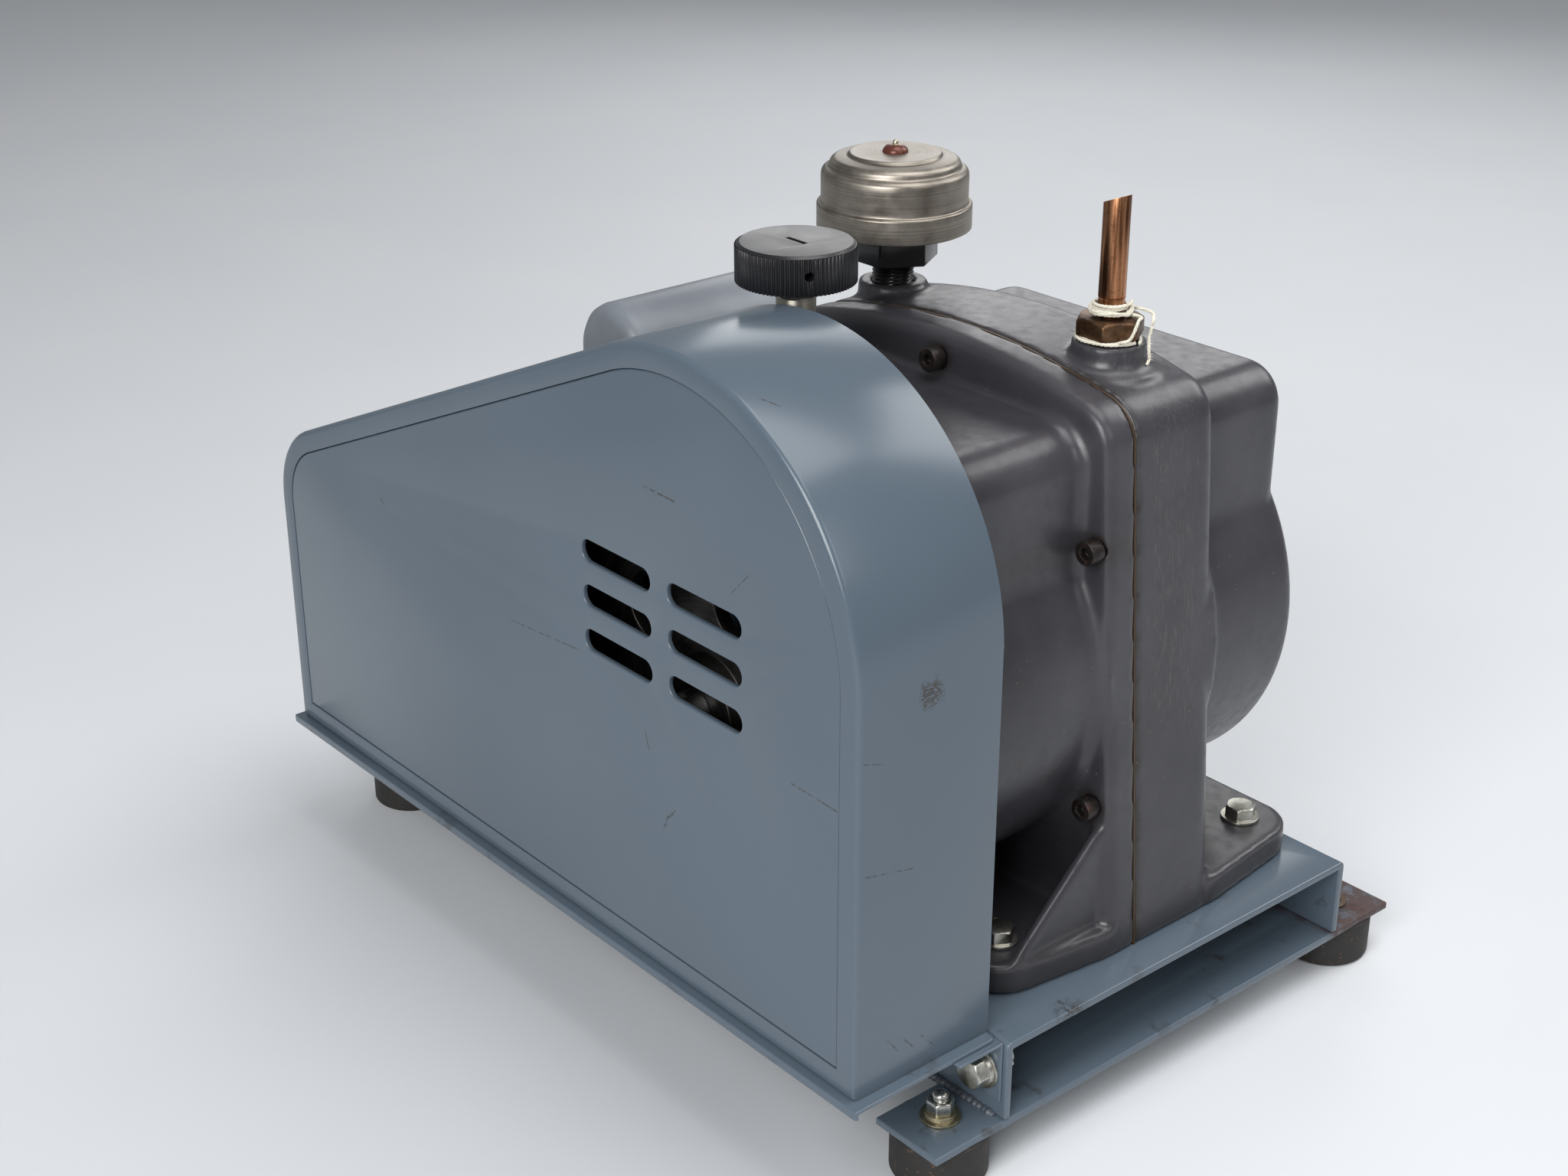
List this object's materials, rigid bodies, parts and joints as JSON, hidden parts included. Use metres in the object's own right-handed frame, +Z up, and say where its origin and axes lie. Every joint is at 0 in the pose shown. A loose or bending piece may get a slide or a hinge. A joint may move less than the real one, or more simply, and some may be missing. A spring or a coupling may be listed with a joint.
{
  "type": "belt drive rotary vane vacuum pump",
  "caption": "Belt drive rotary vane vacuum pump: oil case, motor and belt guard on a steel base with rubber feet, ballast knob, intake tube and exhaust dome.",
  "frame": {"origin": "on the floor under the middle of the whole machine", "axes": "+Z up, +X along the base towards the pump end, -Y towards the belt guard"},
  "size_m": [0.507, 0.3798, 0.4277],
  "materials": {
    "slate_paint": "semi gloss",
    "case_paint": "satin, fine orange peel",
    "motor_paint": "satin",
    "zinc": "zinc plated",
    "black_steel": "black oxide",
    "bright_steel": "machined",
    "iron": "machined",
    "nickel": "satin nickel",
    "bronze": "oxidised",
    "copper_tube": "oxidised copper",
    "winding": "varnished copper and laminations",
    "foot_rubber": "matt",
    "belt_rubber": "matt, dusty",
    "seal_rubber": "matt",
    "gasket_paper": "oil soaked",
    "sealing_fibre": "soft",
    "vane_resin": "fine cloth laminate",
    "knob_plastic": "moulded phenolic",
    "can": "painted can",
    "clear_glass": "clear"
  },
  "bodies": {
    "machine": {"base_channel": "slate_paint", "cross_plates": "slate_paint", "rubber_feet": "foot_rubber", "foot_studs": "zinc", "foot_nuts": "zinc", "foot_washers": "zinc", "guard_rim": "slate_paint", "guard_face": "slate_paint", "guard_back": "slate_paint", "guard_tray": "slate_paint", "guard_brackets": "slate_paint", "guard_bolts": "zinc", "front_casting": "case_paint", "case_gasket": "gasket_paper", "rear_casting": "case_paint", "cover_screws": "black_steel", "pump_foot_bolts": "zinc", "seal_housing": "case_paint", "oil_seal": "seal_rubber", "seal_screws": "zinc", "front_plate": "iron", "exhaust_ring": "iron", "centre_plate": "iron", "intake_ring": "iron", "rear_plate": "iron", "stage_bolts": "black_steel", "intake_duct": "bright_steel", "exhaust_valve": "bright_steel", "intake_bushing": "bronze", "intake_tube": "copper_tube", "sealing_thread": "sealing_fibre", "exhaust_nipple": "black_steel", "exhaust_nut": "black_steel", "dome_pan": "nickel", "dome_cover": "nickel", "dome_screw": "black_steel", "ballast_stem": "nickel", "sight_glass": "clear_glass", "sight_bezel": "nickel", "drain_plug": "zinc", "motor_shell": "motor_paint", "motor_front_bell": "motor_paint", "motor_rear_bell": "motor_paint", "motor_stator": "winding", "capacitor_cover": "motor_paint", "capacitor": "can", "motor_cradle": "slate_paint", "motor_bolts": "zinc", "v_belt": "belt_rubber"},
    "pump_rotor": {"pump_shaft": "bright_steel", "intake_rotor": "bright_steel", "vanes": "vane_resin", "vane_springs": "bright_steel", "pump_pulley": "iron", "pulley_setscrew": "black_steel"},
    "motor_armature": {"motor_rotor": "bright_steel", "motor_pulley": "iron"},
    "ballast_valve": {"ballast_poppet": "bright_steel"},
    "ballast_handle": {"ballast_knob": "knob_plastic", "knob_setscrew": "bright_steel"}
  },
  "joints": [
    {"name": "pump_spin", "type": "hinge", "parent": "machine", "child": "pump_rotor", "pos_m": [0.104, 0, 0.204], "axis": [0, 1, 0], "continuous": true},
    {"name": "motor_spin", "type": "hinge", "parent": "machine", "child": "motor_armature", "pos_m": [-0.145, 0, 0.167], "axis": [0, 1, 0], "continuous": true},
    {"name": "ballast_lift", "type": "slide", "parent": "machine", "child": "ballast_valve", "axis": [0, 0, 1], "range_m": [0, 0.0025]},
    {"name": "knob_turn", "type": "hinge", "parent": "ballast_valve", "child": "ballast_handle", "pos_m": [0.0765, -0.07975, 0.3866], "axis": [0, 0, 1], "range_deg": [0, 720]}
  ],
  "couplings": [
    {"joint": "motor_spin", "follows": "pump_spin", "ratio": 3.1077},
    {"joint": "ballast_lift", "follows": "knob_turn", "m_per_rad": 0.00019894}
  ]
}
